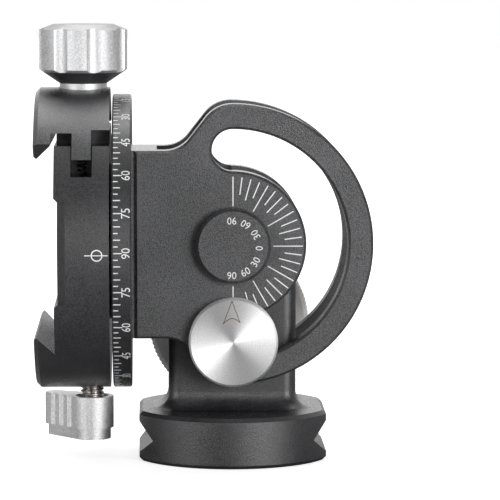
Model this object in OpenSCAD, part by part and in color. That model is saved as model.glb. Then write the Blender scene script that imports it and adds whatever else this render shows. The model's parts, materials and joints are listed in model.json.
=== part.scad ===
// Tilt head for a monopod. A dovetail foot with a flat stem carries a forked arm,
// which tilts about a cross shaft at the top of the stem and is clamped by a stud
// through two arc slots. A panning quick-release clamp turns on the arm's flange.
// X runs from the clamp towards the arm's loop, +Y points away from the scale side
// and +Z up. The origin is the centre of the foot's underside.

/* [Foot] */
// Diameter of the foot disc
foot_d = 42; // [40:0.5:45]
// Width across the foot's two dovetail flats
foot_w = 38; // [36:0.5:39]
// Height of the foot disc
foot_h = 10.2; // [9.8:0.1:12]
// Chamfer of the foot's rims
foot_chamfer = 0.75; // [0.4:0.05:1]
// Depth of the V grooves in the flats
groove_depth = 2.75; // [2:0.05:3]
// Bore of the base thread over its crests
thread_bore_d = 7.94; // [6:0.02:8.4]
// Outside diameter of the thread insert
insert_d = 12; // [11:0.1:13]
// Length of the thread insert
insert_len = 9; // [8:0.1:9.5]

/* [Stem] */
// Width of the stem
stem_w = 26; // [24:0.25:27]
// Thickness of the stem
stem_t = 12; // [11:0.25:13]
// Radius of the stem's upright corners
stem_corner_r = 2.5; // [1.5:0.1:3]
// Radius of the fillet between stem and foot
stem_fillet_r = 3.4; // [2:0.1:3.8]

/* [Tilt arm] */
// Outer radius of the arm's loop about the pivot
loop_r = 28.4; // [27.5:0.1:30]
// Gap between the loop and the top of the foot
loop_gap = 5.6; // [4:0.1:8]
// Radius of the loop's two shoulders, where it turns into the flange block
shoulder_r = 6.9; // [6.2:0.1:7.4]
// Radius of the middle line of the arc slots
slot_r = 19.1; // [18.5:0.1:19.6]
// Width of the arc slots
slot_w = 8.5; // [8:0.1:9]
// Thickness of each cheek
cheek_t = 4.8; // [4.2:0.1:5.4]
// Thickness of the flange block that joins the cheeks
flange_t = 4.5; // [4:0.1:5.5]
// Half the height of the flange block
flange_half = 19; // [18.5:0.1:20]
// Gap between the stem and the flange block
flange_gap = 2.3; // [2:0.1:4]
// Radius of the hollow fillets between loop and flange block
arm_fillet_r = 6.4; // [5.8:0.1:6.8]
// Flat of the flange block beside each hollow fillet
flange_flat = 6; // [5.5:0.1:6.6]
// Chamfer of the arm's outer edges
arm_chamfer = 0.5; // [0.3:0.05:0.7]

/* [Pivot] */
// Diameter of the pivot shaft
shaft_d = 7; // [6:0.1:7.5]
// Wall of the pivot bushes
bush_wall = 1; // [0.8:0.05:1.2]
// Outside diameter of the friction washers on the stem
pivot_washer_d = 16; // [14:0.25:18]
// Depth of the washers' pockets in the stem
pivot_pocket = 0.6; // [0.4:0.05:0.8]
// Diameter of the pivot caps
cap_d = 15.2; // [14:0.1:16]
// Height of the pivot caps above the cheeks
cap_h = 3; // [2.5:0.1:3.5]
// Chamfer of the pivot caps
cap_chamfer = 0.6; // [0.3:0.05:0.8]

/* [Lock stud and knob] */
// Distance from the pivot to the lock stud
lock_r = 19.5; // [19:0.1:19.6]
// Diameter of the lock stud
stud_d = 5; // [4.5:0.1:5.4]
// Diameter of the index disc
index_d = 18; // [17:0.1:18.6]
// Thickness of the index disc
index_t = 2.4; // [2:0.1:3]
// Chamfer of the index disc
index_chamfer = 0.4; // [0.2:0.05:0.6]
// Diameter of the pin that keys disc, stud and stem together
key_d = 1; // [0.8:0.1:1.2]
// Thickness of the slot washers
slot_washer_t = 0.5; // [0.4:0.05:0.8]
// Diameter of the lock knob
lock_knob_d = 34; // [31:0.25:34.5]
// Thickness of the lock knob's grip
lock_grip_t = 11; // [9:0.25:13]
// Diameter of the lock knob's hub
lock_hub_d = 19; // [17:0.25:20]
// Length of the lock knob's hub up to its grip
lock_hub_len = 10.4; // [10:0.1:12]
// Chamfer of the lock knob
lock_chamfer = 1; // [0.6:0.05:1.4]
// Outside diameter of the lock knob's threaded insert
lock_insert_d = 10; // [9:0.1:11]
// Diameter of the lock knob's cap
lock_cap_d = 22; // [20:0.25:24]
// Thickness of the lock knob's cap
lock_cap_t = 1.6; // [1.2:0.1:2]

/* [Pan stage] */
// Diameter of the panning scale ring and of the clamp
ring_d = 60; // [57:0.5:62]
// Thickness of the scale ring
ring_t = 3.84; // [3.5:0.02:4.5]
// Chamfer of the scale ring
ring_chamfer = 0.3; // [0.2:0.05:0.5]
// Height of the raised pad under the ring
pad_h = 0.6; // [0.4:0.05:0.8]
// Inset of the raised pad from the flange block's front and back
pad_inset = 0.9; // [0.7:0.05:1.2]
// Gap between the ring and the clamp
pan_gap = 0.5; // [0.4:0.05:0.8]
// Diameter of the panning spindle
spindle_d = 20; // [18:0.25:20.5]
// Length of the spindle inside the clamp
spindle_len = 7.4; // [7:0.05:7.6]
// Diameter of the spindle's nose
nose_d = 13; // [12:0.25:14]
// Web of the clamp between spindle and retainer
web_t = 1; // [0.8:0.05:1.1]
// Diameter of the retainer plate
retainer_d = 19; // [18:0.25:20]
// Thickness of the retainer plate
retainer_t = 1.3; // [1.1:0.05:1.4]
// Diameter of the centre bolt
pan_bolt_d = 5; // [4:0.1:5.5]
// Diameter of the centre bolt's countersunk head
pan_bolt_head_d = 8.6; // [8:0.1:9]
// Depth of the hexagon sockets
socket_depth = 1.1; // [0.8:0.05:1.1]
// Diameter of the two dowels
dowel_d = 2; // [1.6:0.1:2.4]
// Diameter of the ring screws
ring_screw_d = 3; // [2.5:0.1:3]
// Length of the ring screws
ring_screw_len = 7; // [6:0.1:7.5]

/* [Clamp] */
// Thickness of the clamp from its back to the channel floor
clamp_t = 10.9; // [10.7:0.05:12]
// Height of the lips above the channel floor
lip_h = 4.15; // [3.8:0.05:4.6]
// Width of each lip from the clamp's rim to the lip's edge
lip_w = 12.9; // [12.4:0.1:13.2]
// Flat at the edge of each lip
lip_flat = 0.55; // [0.3:0.05:0.7]
// Chamfer round the clamp's outer rim
clamp_chamfer = 0.9; // [0.5:0.05:1.2]
// Height of the guide tenon above the body's top edge
tenon_h = 2.75; // [2.4:0.05:3]
// Half the width of the guide tenon
tenon_half = 13; // [12:0.25:13.5]
// Half the height of the floor's cross relief
relief_half = 10.1; // [10:0.1:11]
// Depth of the floor's cross relief
relief_depth = 0.7; // [0.5:0.05:0.8]
// Chamfer of the rim along the cross relief
relief_chamfer = 1.6; // [1.2:0.05:2]
// Diameter of the lever's stud and of the brake shoe
brake_d = 4.8; // [4.2:0.1:5]
// Distance from the clamp's back to the lever's axis
brake_back = 3.95; // [3.7:0.05:4.5]
// Height of the brake shoe
shoe_h = 5; // [4:0.1:7]

/* [Moving jaw] */
// Opening of the jaw past its nominal place, as it stands
jaw_open = 1.4; // [1:0.05:1.6]
// Travel of the jaw from its nominal place to closed
jaw_close = 0.8; // [0.6:0.05:0.8]
// Height of the jaw from its underside to its rim
jaw_h = 8.25; // [8:0.05:8.5]
// Width of the jaw's lip from its rim to its edge
jaw_lip_w = 13.55; // [13.2:0.05:13.8]
// Half the length of the jaw's lip edge
jaw_lip_half = 17.9; // [17:0.1:19]
// Widening of the jaw's lip for each step away from its edge
jaw_lip_slope = 1.42; // [1.3:0.02:1.5]
// Gap between jaw and body at the nominal place
jaw_gap = 1.1; // [1.1:0.05:1.5]
// Height of the jaw above its underside next to the ring
jaw_step = 0.6; // [0.4:0.05:0.8]
// Width of the guide tongues
tongue_w = 3.8; // [3.4:0.05:4.2]
// Length of the guide tongues below the jaw
tongue_len = 5; // [4.5:0.05:5.2]
// Depth of the guide slots below the body's top edge
guide_slot_len = 5.8; // [5.6:0.05:6.4]
// Distance from the clamp's back to the clamp screw
screw_back = 5.46; // [5.3:0.02:5.6]
// Diameter of the jaw springs
spring_d = 2; // [1.8:0.05:2.2]
// Wire of the jaw springs
spring_wire = 0.36; // [0.3:0.02:0.4]
// Rise of the jaw springs in one curl
spring_pitch = 0.95; // [0.9:0.01:1.1]

/* [Clamp knob] */
// Diameter of the clamp knob
knob_d = 18; // [17:0.1:19]
// Height of the knob's fluted grip
knob_grip_h = 8.6; // [8:0.1:9.5]
// Height of the knob's conical top
knob_crown_h = 1.1; // [0.8:0.05:1.3]
// Diameter of the knob's flat top
knob_top_d = 12.4; // [11:0.1:13]
// Diameter of the cutter that makes each flute
flute_d = 4.4; // [4:0.1:5]
// Depth of the flutes
flute_depth = 0.8; // [0.5:0.05:1]
// Height of the conical core
cone_h = 2.3; // [2:0.05:2.6]
// Diameter of the collar
collar_d = 9.6; // [9:0.1:10]
// Height of the collar
collar_h = 1.5; // [1.2:0.05:2]
// Diameter of the clamp screw
screw_d = 5; // [4.5:0.1:5]
// Wall of the screw insert
screw_insert_wall = 1.1; // [0.9:0.05:1.2]
// Depth of the spot face in the jaw
spot_depth = 1.1; // [0.9:0.05:1.2]
// Thickness of the washer in the spot face
jaw_washer_t = 0.4; // [0.3:0.05:0.5]

/* [Pan lever] */
// Diameter of the lever's head
lever_d = 8.8; // [8.4:0.1:9.2]
// Diameter of the lever's tip
lever_tip_d = 4.6; // [4:0.1:5]
// Reach of the lever's tip from its axis
lever_reach = 11.7; // [11:0.1:12.5]
// Turn of the lever from -X towards +Y, as it stands
lever_turn = 37; // [30:1:45]
// Height of the lever's main part
lever_h = 6.5; // [6:0.1:7]
// Height of the lever's ledge
ledge_h = 2.3; // [2:0.1:3]
// Inset of the lever's ledge
ledge_inset = 0.6; // [0.4:0.05:0.8]
// Gap between clamp body and lever
lever_gap = 2; // [1.5:0.1:2.4]
// Diameter of the recess round the lever's stud
lever_recess_d = 6.8; // [6.4:0.1:7]
// Depth of the recess round the lever's stud
lever_recess = 1.6; // [1.2:0.1:2]

/* [Fits] */
// Radial clearance of pieces that are pressed or screwed together
fit = 0.02; // [0.01:0.01:0.03]
// Radial running clearance of shafts and screws
run = 0.05; // [0.03:0.01:0.08]
// Clearance between sliding faces
slide = 0.2; // [0.15:0.01:0.25]
// Clearance between moving pieces that don't guide each other
free = 0.3; // [0.25:0.01:0.35]

/* [Hidden] */

$fn = 96;

// Overrun of the cuts
over = 1;

// Heights of each groove's lower corner, apex and upper corner, as shares of the foot's height
groove_shares = [0.18, 0.46, 0.8];

// Pivot and lock heights
pivot_z = foot_h + loop_gap + loop_r;
lock_z = pivot_z - lock_r;

// Fork
fork_gap = stem_t + 2 * slide;
arm_t = fork_gap + 2 * cheek_t;
cheek_y = arm_t / 2;
shoulder_z = loop_r - shoulder_r;
flange_x = stem_w / 2 + flange_gap;
flange_back = flange_x + flange_t;
fillet_x = flange_back - flange_flat;
fillet_z = flange_half + arm_fillet_r;
// Straight line between shoulder and hollow fillet: direction of its normal, and length
line_span = norm([fillet_x, fillet_z - shoulder_z]);
line_tilt = acos((shoulder_r + arm_fillet_r) / line_span);
line_a = 180 - atan2(fillet_z - shoulder_z, fillet_x) - line_tilt;
line_len = line_span * sin(line_tilt);

// Bores of the stem
bush_r = shaft_d / 2 + run + bush_wall;
hub_r = slot_w / 2 - abs(lock_r - slot_r) - free;
// Play of the thrust washers
slot_play = 0.05;
index_y = cheek_y + slot_washer_t + 2 * slot_play;
key_len = 5;
index_bore = 1.6;
stud_back = index_y + lock_hub_len + lock_grip_t - lock_cap_t - 2 * over;

// Shaft ends in the caps
cap_socket = 1.6;

// Distances from the pivot along the pan axis
ring_back = flange_back + pad_h;
ring_face = ring_back + ring_t;
clamp_back = ring_face + pan_gap;
clamp_floor = clamp_back + clamp_t;
clamp_out = clamp_floor + lip_h;
spindle_end = clamp_back + spindle_len;
web_end = spindle_end + run + web_t;
retainer_x = web_end + run;
screw_x = clamp_back + screw_back;
lever_x = clamp_back + brake_back;
ring_r = ring_d / 2;
ring_screw_y = 6;
ring_screw_z = 15;
dowel_z = 6.5;
dowel_len = 12;
bolt_tip_gap = 0.3;
pan_washer_wall = 6;

// Jaw
jaw_shift = jaw_open;
underside = ring_r - jaw_h;
body_top = underside - jaw_gap;
lip_tip = ring_r - lip_w;
tip_rise = clamp_out - lip_flat - clamp_floor;
jaw_lip_tip = ring_r - jaw_lip_w;
tongue_y = 15.2;
mortise_top = body_top + tenon_h + jaw_close + free;
spot_z = ring_r - spot_depth + jaw_washer_t;
jaw_wall_x = 0.6;
jaw_vertical = 0.8;
tenon_front = 0.3;

// Springs
spring_hole = 6;
spring_y = 17;
spring_low = body_top - guide_slot_len - spring_hole + spring_wire;
spring_top = underside - tongue_len + jaw_shift - spring_wire;
spring_rings = 8;
spring_sides = 6;

// Clamp knob
collar_z = spot_z + jaw_shift;
cone_z = collar_z + collar_h;
grip_z = cone_z + cone_h;
core_r = knob_d / 2 - flute_depth;
flutes = 8;
flute_phase = 15.6;
screw_low = spindle_d / 2 + run + jaw_close + jaw_shift + free;
insert_low = screw_low + free;
knob_floor = 2;

// Pan lever
lever_top = ring_r + lever_gap;
shoe_low = spindle_d / 2 + shoe_h;
lever_flutes = 3;
lever_flute_r = 0.9;
lever_flute_step = 2.6;
lever_flute_start = 3;
lever_screw_d = 2.5;
lever_screw_head_d = 4.4;
lever_screw_head_h = 1.4;
lever_screw_len = 6;

// Places children on the tilt axis, their Z towards the scale side
module on_pivot(y) translate([0, -y, pivot_z]) rotate([90, 0, 0]) children();

// Places children on the lock stud's axis, their Z towards the scale side
module on_lock(y) translate([0, -y, lock_z]) rotate([90, 0, 0]) children();

// Places children on the pan axis, their X up and their Z away from the arm
module on_pan(x) translate([-x, 0, pivot_z]) rotate([0, -90, 0]) children();

// Disc with chamfered rims
module disc(r, h, low = 0, high = 0)
    rotate_extrude() polygon(concat(
        [[0, 0]],
        low > 0 ? [[r - low, 0], [r, low]] : [[r, 0]],
        high > 0 ? [[r, h - high], [r - high, h]] : [[r, h]],
        [[0, h]]));

// Ring with a plain bore and chamfered rims
module ring(r_in, r, h, low = 0, high = 0)
    difference() {
        disc(r, h, low, high);
        translate([0, 0, -over]) cylinder(r = r_in, h = h + 2 * over);
    }

// Block from one corner to the other
module block(low, high) translate(low) cube(high - low);

// Countersunk screw, its head's face at 0 and its shank along +Z
module flat_screw(d, head_d, len)
    difference() {
        union() {
            cylinder(d = d, h = len);
            cylinder(d1 = head_d, d2 = d, h = (head_d - d) / 2);
        }
        translate([0, 0, -over]) cylinder(r = d / 2, h = socket_depth + over, $fn = 6);
    }

// Hole that a countersunk screw fits, in the screw's own place
module flat_screw_hole(d, head_d, len)
    union() {
        translate([0, 0, -over]) cylinder(d = head_d + 4 * fit, h = over);
        cylinder(d1 = head_d + 4 * fit, d2 = d + 4 * fit, h = (head_d - d) / 2);
        cylinder(d = d + 2 * fit, h = len);
    }

module foot_section()
    let (w = foot_w / 2, c = foot_chamfer, g = groove_shares * foot_h)
    polygon([
        [c - w, 0], [w - c, 0], [w, c], [w, g[0]], [w - groove_depth, g[1]], [w, g[2]],
        [w, foot_h - c], [w - c, foot_h], [c - w, foot_h], [-w, foot_h - c],
        [-w, g[2]], [groove_depth - w, g[1]], [-w, g[0]], [-w, c]]);

module stem_plan(grow = 0)
    let (w = stem_w / 2 - stem_corner_r, t = stem_t / 2 - stem_corner_r, r = stem_corner_r)
    union() {
        square([2 * w, 2 * (t + r)], center = true);
        square([2 * (w + r), 2 * t], center = true);
        for (i = [-1, 1], j = [-1, 1]) translate([i * w, j * t]) circle(r = r);
    }

// Hollow fillet profile, from the wall at x = 0 outwards
module fillet_profile()
    difference() {
        translate([-stem_corner_r / 2, -foot_chamfer / 2])
            square([stem_fillet_r + stem_corner_r / 2, stem_fillet_r + foot_chamfer / 2]);
        translate([stem_fillet_r, stem_fillet_r]) circle(r = stem_fillet_r);
    }

module stem_fillets()
    let (w = stem_w / 2 - stem_corner_r, t = stem_t / 2 - stem_corner_r)
    translate([0, 0, foot_h]) {
        for (s = [0, 180]) rotate([0, 0, s]) {
            translate([w + stem_corner_r, t, 0]) rotate([90, 0, 0])
                linear_extrude(2 * t) fillet_profile();
            translate([-w, t + stem_corner_r, 0]) rotate([90, 0, 90])
                linear_extrude(2 * w) fillet_profile();
        }
        for (c = [[1, 1, 0], [-1, 1, 90], [-1, -1, 180], [1, -1, 270]])
            translate([c[0] * w, c[1] * t, 0]) rotate([0, 0, c[2]])
                rotate_extrude(angle = 90) translate([stem_corner_r, 0]) fillet_profile();
    }

module foot_stem()
    color("#2b2b2e")
    difference() {
        union() {
            intersection() {
                disc(foot_d / 2, foot_h, foot_chamfer, foot_chamfer);
                translate([0, foot_d / 2 + over, 0]) rotate([90, 0, 0])
                    linear_extrude(foot_d + 2 * over) foot_section();
            }
            intersection() {
                translate([0, 0, foot_h / 2]) linear_extrude(pivot_z) stem_plan();
                union() {
                    on_pivot(-stem_t) cylinder(d = stem_w, h = 2 * stem_t);
                    block([-stem_w, -stem_t, 0], [stem_w, stem_t, pivot_z]);
                }
            }
            stem_fillets();
        }
        translate([0, 0, -over]) cylinder(d = insert_d, h = insert_len + over);
        on_pivot(-stem_t) cylinder(r = bush_r + fit, h = 2 * stem_t);
        for (y = [-stem_t / 2 - over, stem_t / 2 - pivot_pocket])
            on_pivot(y) cylinder(d = pivot_washer_d + 2 * fit, h = pivot_pocket + over);
        on_lock(-stem_t) cylinder(r = stud_d / 2 + fit, h = 2 * stem_t);
        index_key_hole();
    }

module thread_insert()
    color("#a8a8a8") ring(thread_bore_d / 2, insert_d / 2 - fit, insert_len - fit);

module pivot_bush() ring(shaft_d / 2 + run, bush_r, stem_t / 2 - pivot_pocket - fit);

module pivot_bush_front() color("#b08d4c") on_pivot(fit) pivot_bush();

module pivot_bush_rear() color("#b08d4c") on_pivot(pivot_pocket - stem_t / 2) pivot_bush();

module pivot_washer()
    ring(shaft_d / 2 + slide, pivot_washer_d / 2, pivot_pocket + slide - 2 * slot_play);

module pivot_washer_front()
    color("#d9d9d4") on_pivot(stem_t / 2 - pivot_pocket + slot_play) pivot_washer();

module pivot_washer_rear() color("#d9d9d4") on_pivot(-stem_t / 2 - slide + slot_play) pivot_washer();

module lock_bolt()
    color("#9a9a9a")
    difference() {
        on_lock(-stud_back) disc(stud_d / 2, stud_back + index_y + index_bore, index_chamfer, 0);
        index_key_hole();
    }

module index_disc()
    color("#d8d8d8")
    difference() {
        union() {
            on_lock(index_y) disc(index_d / 2, index_t, 0, index_chamfer);
            on_lock(stem_t / 2 + fit) cylinder(r = hub_r, h = index_y - stem_t / 2);
        }
        on_lock(0) cylinder(r = stud_d / 2 + fit, h = index_y + index_bore + fit);
        index_key_hole();
    }

// Places children on the axis of the key pin, in the stud's thread line
module on_index_key() on_lock((stem_t - key_len) / 2) translate([0, stud_d / 2, 0]) children();

module index_key_hole() on_index_key() cylinder(d = key_d + 2 * fit, h = key_len);

module index_key()
    color("#9a9a9a") on_index_key() translate([0, 0, fit]) cylinder(d = key_d, h = key_len - 2 * fit);

module slot_washer(y) on_lock(y) ring(hub_r + slot_play, index_d / 2 - index_chamfer, slot_washer_t);

module front_slot_washer() color("#1c1c1c") slot_washer(cheek_y + slot_play);

module rear_slot_washer()
    color("#1c1c1c") slot_washer(-cheek_y - slot_play - slot_washer_t);

module rear_slot_sleeve()
    color("#9a9a9a") on_lock(-cheek_y - slot_washer_t)
        ring(stud_d / 2 + fit, hub_r, cheek_y + slot_washer_t - stem_t / 2 - fit);

module lock_knob()
    color("#c8c8c8")
    on_lock(-index_y - lock_hub_len - lock_grip_t)
    difference() {
        union() {
            disc(lock_knob_d / 2, lock_grip_t, lock_chamfer, lock_chamfer);
            translate([0, 0, lock_grip_t - over])
                disc(lock_hub_d / 2, lock_hub_len + over, 0, lock_chamfer / 2);
        }
        translate([0, 0, -over]) cylinder(d = lock_cap_d + 2 * fit, h = lock_cap_t + over);
        cylinder(d = lock_insert_d, h = 2 * (lock_grip_t + lock_hub_len));
    }

module lock_knob_insert()
    color("#9a9a9a")
    on_lock(-index_y - lock_hub_len - lock_grip_t + lock_cap_t + fit)
    ring(stud_d / 2 + run, lock_insert_d / 2 - fit, lock_hub_len + lock_grip_t - lock_cap_t - 2 * fit);

module lock_knob_cap()
    color("#2b2b2e")
    on_lock(-index_y - lock_hub_len - lock_grip_t)
    disc(lock_cap_d / 2, lock_cap_t, index_chamfer, 0);

// Outline of one cheek, solid, its outer face chamfered
module cheek_blank()
    union() {
        intersection() {
            disc(loop_r, cheek_t, 0, arm_chamfer);
            block([0, -loop_r - over, -over], [loop_r + over, loop_r + over, cheek_t + over]);
        }
        for (s = [-1, 1]) translate([0, s * shoulder_z, 0]) disc(shoulder_r, cheek_t, 0, arm_chamfer);
        intersection() {
            rotate([90, 0, 90]) translate([0, 0, -flange_back]) linear_extrude(flange_back) polygon([
                [-flange_half, 0], [flange_half, 0], [flange_half, cheek_t - arm_chamfer],
                [flange_half - arm_chamfer, cheek_t], [arm_chamfer - flange_half, cheek_t],
                [-flange_half, cheek_t - arm_chamfer]]);
            rotate([90, 0, 0]) translate([0, 0, -loop_r]) linear_extrude(2 * loop_r) polygon([
                [-flange_back, 0], [over, 0], [over, cheek_t], [arm_chamfer - flange_back, cheek_t],
                [-flange_back, cheek_t - arm_chamfer]]);
        }
        for (s = [0, 1]) mirror([0, s, 0]) linear_extrude(cheek_t) polygon([
            [-fillet_x, flange_half - arm_chamfer], [-fillet_x, fillet_z],
            [-fillet_x - arm_fillet_r * cos(line_a), fillet_z - arm_fillet_r * sin(line_a)],
            [shoulder_r * cos(line_a), shoulder_z + shoulder_r * sin(line_a)],
            [0, shoulder_z], [0, flange_half - arm_chamfer]]);
    }

// Arc slot of one cheek, its outer edge flared
module arc_slot()
    let (a = slot_r - slot_w / 2, b = slot_r + slot_w / 2, c = arm_chamfer + over, t = cheek_t)
    union() {
        rotate([0, 0, -90]) rotate_extrude(angle = 180) polygon([
            [a, -over], [b, -over], [b, t - arm_chamfer],
            [b + c, t + over], [a - c, t + over], [a, t - arm_chamfer]]);
        for (s = [-1, 1]) translate([0, s * slot_r, 0]) {
            translate([0, 0, -over]) cylinder(d = slot_w, h = t + 2 * over);
            translate([0, 0, t - arm_chamfer]) cylinder(d1 = slot_w, d2 = slot_w + 2 * c, h = c);
        }
    }

module cheek()
    difference() {
        cheek_blank();
        arc_slot();
        for (s = [0, 1]) mirror([0, s, 0]) translate([0, shoulder_z, cheek_t]) rotate([0, 0, line_a])
            translate([shoulder_r, line_len / 2, 0]) rotate([0, 45, 0])
                cube([sqrt(2) * arm_chamfer, line_len, sqrt(2) * arm_chamfer], center = true);
        for (s = [-1, 1]) translate([-fillet_x, s * fillet_z, 0]) {
            translate([0, 0, -over]) cylinder(r = arm_fillet_r, h = cheek_t + 2 * over);
            translate([0, 0, cheek_t - arm_chamfer])
                cylinder(r1 = arm_fillet_r, r2 = arm_fillet_r + arm_chamfer + over, h = arm_chamfer + over);
        }
        translate([0, 0, -over]) cylinder(r = shaft_d / 2 + fit, h = cheek_t + 2 * over);
    }

module tilt_arm()
    color("#3a3a3d")
    difference() {
        union() {
            on_pivot(fork_gap / 2) cheek();
            mirror([0, 1, 0]) on_pivot(fork_gap / 2) cheek();
            block([-flange_back, -fork_gap / 2 - over, pivot_z - flange_half],
                [-flange_x, fork_gap / 2 + over, pivot_z + flange_half]);
            block([-ring_back, pad_inset - cheek_y, pivot_z - flange_half],
                [-flange_x - over, cheek_y - pad_inset, pivot_z + flange_half]);
        }
        pan_bolt_hole();
        pan_dowel_holes();
        on_pan(0) ring_screw_places() cylinder(d = ring_screw_d + 2 * fit, h = ring_face);
    }

module pivot_shaft()
    color("#9a9a9a") on_pivot(-cheek_y - cap_socket)
        disc(shaft_d / 2, 2 * (cheek_y + cap_socket), index_chamfer, index_chamfer);

module pivot_cap()
    difference() {
        disc(cap_d / 2, cap_h, 0, cap_chamfer);
        translate([0, 0, -over]) cylinder(r = shaft_d / 2 + fit, h = cap_socket + fit + over);
    }

module pivot_cap_front() color("#2b2b2e") on_pivot(cheek_y) pivot_cap();

module pivot_cap_rear() color("#2b2b2e") mirror([0, 1, 0]) on_pivot(cheek_y) pivot_cap();

// Places children at each ring screw
module ring_screw_places()
    for (i = [-1, 1], j = [-1, 1]) translate([i * ring_screw_z, j * ring_screw_y, 0]) children();

// Places children at each dowel
module dowel_places() for (s = [-1, 1]) translate([s * dowel_z, 0, 0]) children();

module pan_dowel_holes()
    on_pan(ring_face - dowel_len / 2 - fit) dowel_places()
        cylinder(d = dowel_d + 2 * fit, h = dowel_len + 2 * fit);

// Places children on the centre bolt, their Z from its head towards the arm
module on_pan_bolt() on_pan(retainer_x + retainer_t - fit) mirror([0, 0, 1]) children();

module pan_bolt_hole()
    on_pan_bolt() flat_screw_hole(pan_bolt_d, pan_bolt_head_d, retainer_x + retainer_t);

module pan_ring()
    color("#2b2b2e")
    difference() {
        on_pan(ring_back) disc(ring_r, ring_t, ring_chamfer, ring_chamfer);
        pan_bolt_hole();
        pan_dowel_holes();
        on_pan(ring_face - fit) mirror([0, 0, 1]) ring_screw_places()
            flat_screw_hole(ring_screw_d, 2 * ring_screw_d, ring_screw_len);
    }

module ring_screws()
    color("#1c1c1c") on_pan(ring_face - fit) mirror([0, 0, 1]) ring_screw_places()
        flat_screw(ring_screw_d, 2 * ring_screw_d, ring_screw_len);

module pan_dowels()
    color("#9a9a9a") on_pan(ring_face - dowel_len / 2) dowel_places() cylinder(d = dowel_d, h = dowel_len);

module pan_spindle()
    color("#9a9a9a")
    difference() {
        union() {
            on_pan(ring_face) cylinder(d = spindle_d, h = spindle_end - ring_face);
            on_pan(ring_face) cylinder(d = nose_d, h = retainer_x - ring_face);
        }
        pan_bolt_hole();
        pan_dowel_holes();
    }

module pan_retainer()
    color("#8c8c8c")
    difference() {
        on_pan(retainer_x) disc(retainer_d / 2, retainer_t, 0, ring_chamfer);
        pan_bolt_hole();
    }

module pan_bolt()
    color("#1c1c1c") on_pan_bolt()
        flat_screw(pan_bolt_d, pan_bolt_head_d, retainer_x + retainer_t - fit - flange_x - bolt_tip_gap);

module pan_washer()
    color("#d9d9d4") on_pan(ring_face + slot_play)
        ring(spindle_d / 2 + slide, spindle_d / 2 + pan_washer_wall, pan_gap - 2 * slot_play);

// Corner cuts at the ends of the jaw's lip, above the channel floor
module lip_corner_cuts()
    let (low = jaw_lip_half - jaw_lip_slope * over, high = jaw_lip_half + jaw_lip_slope * jaw_lip_w)
    for (s = [-1, 1]) translate([0, 0, clamp_floor]) linear_extrude(lip_h + over)
        polygon([[ring_r, s * high], [jaw_lip_tip - over, s * high], [jaw_lip_tip - over, s * low]]);

// Round blank of clamp and jaw with the outer rim chamfered
module clamp_blank() translate([0, 0, clamp_back]) disc(ring_r, clamp_out - clamp_back, 0, clamp_chamfer);

// Section above the channel floor, between the lip's flank and the far side
module channel_section(far)
    polygon([
        [-lip_tip - lip_flat - over, clamp_out + over], [-lip_tip - lip_flat, clamp_out],
        [-lip_tip, clamp_out - lip_flat], [-lip_tip - tip_rise, clamp_floor],
        [far, clamp_floor], [far, clamp_out + over]]);

module guide_slots(wide, low, inner)
    for (s = [-1, 1]) mirror([0, s < 0 ? 1 : 0, 0])
        block([low, inner, screw_x - wide / 2], [ring_r + 2 * over, ring_r + over, screw_x + wide / 2]);

module clamp_body()
    color("#2f2f32")
    translate([0, 0, pivot_z]) rotate([0, -90, 0])
    difference() {
        clamp_blank();
        rotate([90, 0, 0]) translate([0, 0, -ring_r - over])
            linear_extrude(2 * (ring_r + over)) channel_section(ring_d);
        difference() {
            block([body_top, -ring_d, 0], [ring_d, ring_d, clamp_floor + over]);
            block([0, -tenon_half, 0],
                [body_top + tenon_h, tenon_half, clamp_floor - tenon_front]);
        }
        guide_slots(tongue_w + 2 * slide, body_top - guide_slot_len, tongue_y - slide);
        rotate([90, 0, 0]) translate([0, 0, -ring_d]) linear_extrude(2 * ring_d) polygon([
            [-relief_half - relief_depth - over, clamp_floor + over],
            [-relief_half, clamp_floor - relief_depth], [relief_half, clamp_floor - relief_depth],
            [relief_half + relief_depth + over, clamp_floor + over]]);
        intersection() {
            block([-relief_half, -ring_d, 0], [relief_half, ring_d, clamp_out]);
            rotate_extrude() polygon([
                [ring_r - relief_chamfer, clamp_floor - relief_depth],
                [ring_r + over, clamp_floor - relief_depth - relief_chamfer - over],
                [ring_r + over, clamp_floor + over], [ring_r - relief_chamfer, clamp_floor + over]]);
        }
        cylinder(r = spindle_d / 2 + run, h = spindle_end + run);
        cylinder(r = nose_d / 2 + run, h = clamp_out);
        translate([0, 0, web_end]) cylinder(r = retainer_d / 2 + slide, h = lip_h + clamp_t);
        translate([0, 0, screw_x]) rotate([0, 90, 0]) translate([0, 0, insert_low - fit])
            cylinder(r = screw_d / 2 + run + screw_insert_wall + fit, h = ring_r);
        translate([0, 0, screw_x]) rotate([0, 90, 0]) cylinder(r = screw_d / 2 + free, h = ring_r);
        translate([0, 0, lever_x]) rotate([0, -90, 0]) cylinder(r = brake_d / 2 + run, h = ring_d);
        for (s = [-1, 1]) translate([body_top - guide_slot_len - spring_hole, s * spring_y, screw_x])
            rotate([0, 90, 0]) cylinder(r = spring_d / 2 + slide, h = spring_hole + over);
    }

module screw_insert()
    color("#9a9a9a")
    translate([-screw_x, 0, pivot_z + insert_low])
    ring(screw_d / 2 + run, screw_d / 2 + run + screw_insert_wall, body_top + tenon_h - insert_low);

module brake_shoe()
    color("#b08d4c")
    difference() {
        translate([-lever_x, 0, pivot_z - shoe_low])
            cylinder(r = brake_d / 2, h = shoe_low - (spindle_d - brake_d) / 2);
        on_pan(0) cylinder(r = spindle_d / 2 + run, h = clamp_out);
    }

// Point of a helix ring: n rings along the wire, k sides round it
function helix_point(r, wire, pitch, rings, i, k, sides) =
    let (a = 360 * i / rings, b = 360 * k / sides, d = r + wire * cos(b))
    [d * cos(a), d * sin(a), pitch * i / rings + wire * sin(b)];

// Point on the middle line of a helix
function helix_middle(r, pitch, rings, i) = helix_point(r, 0, pitch, rings, i, 0, 1);

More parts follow.
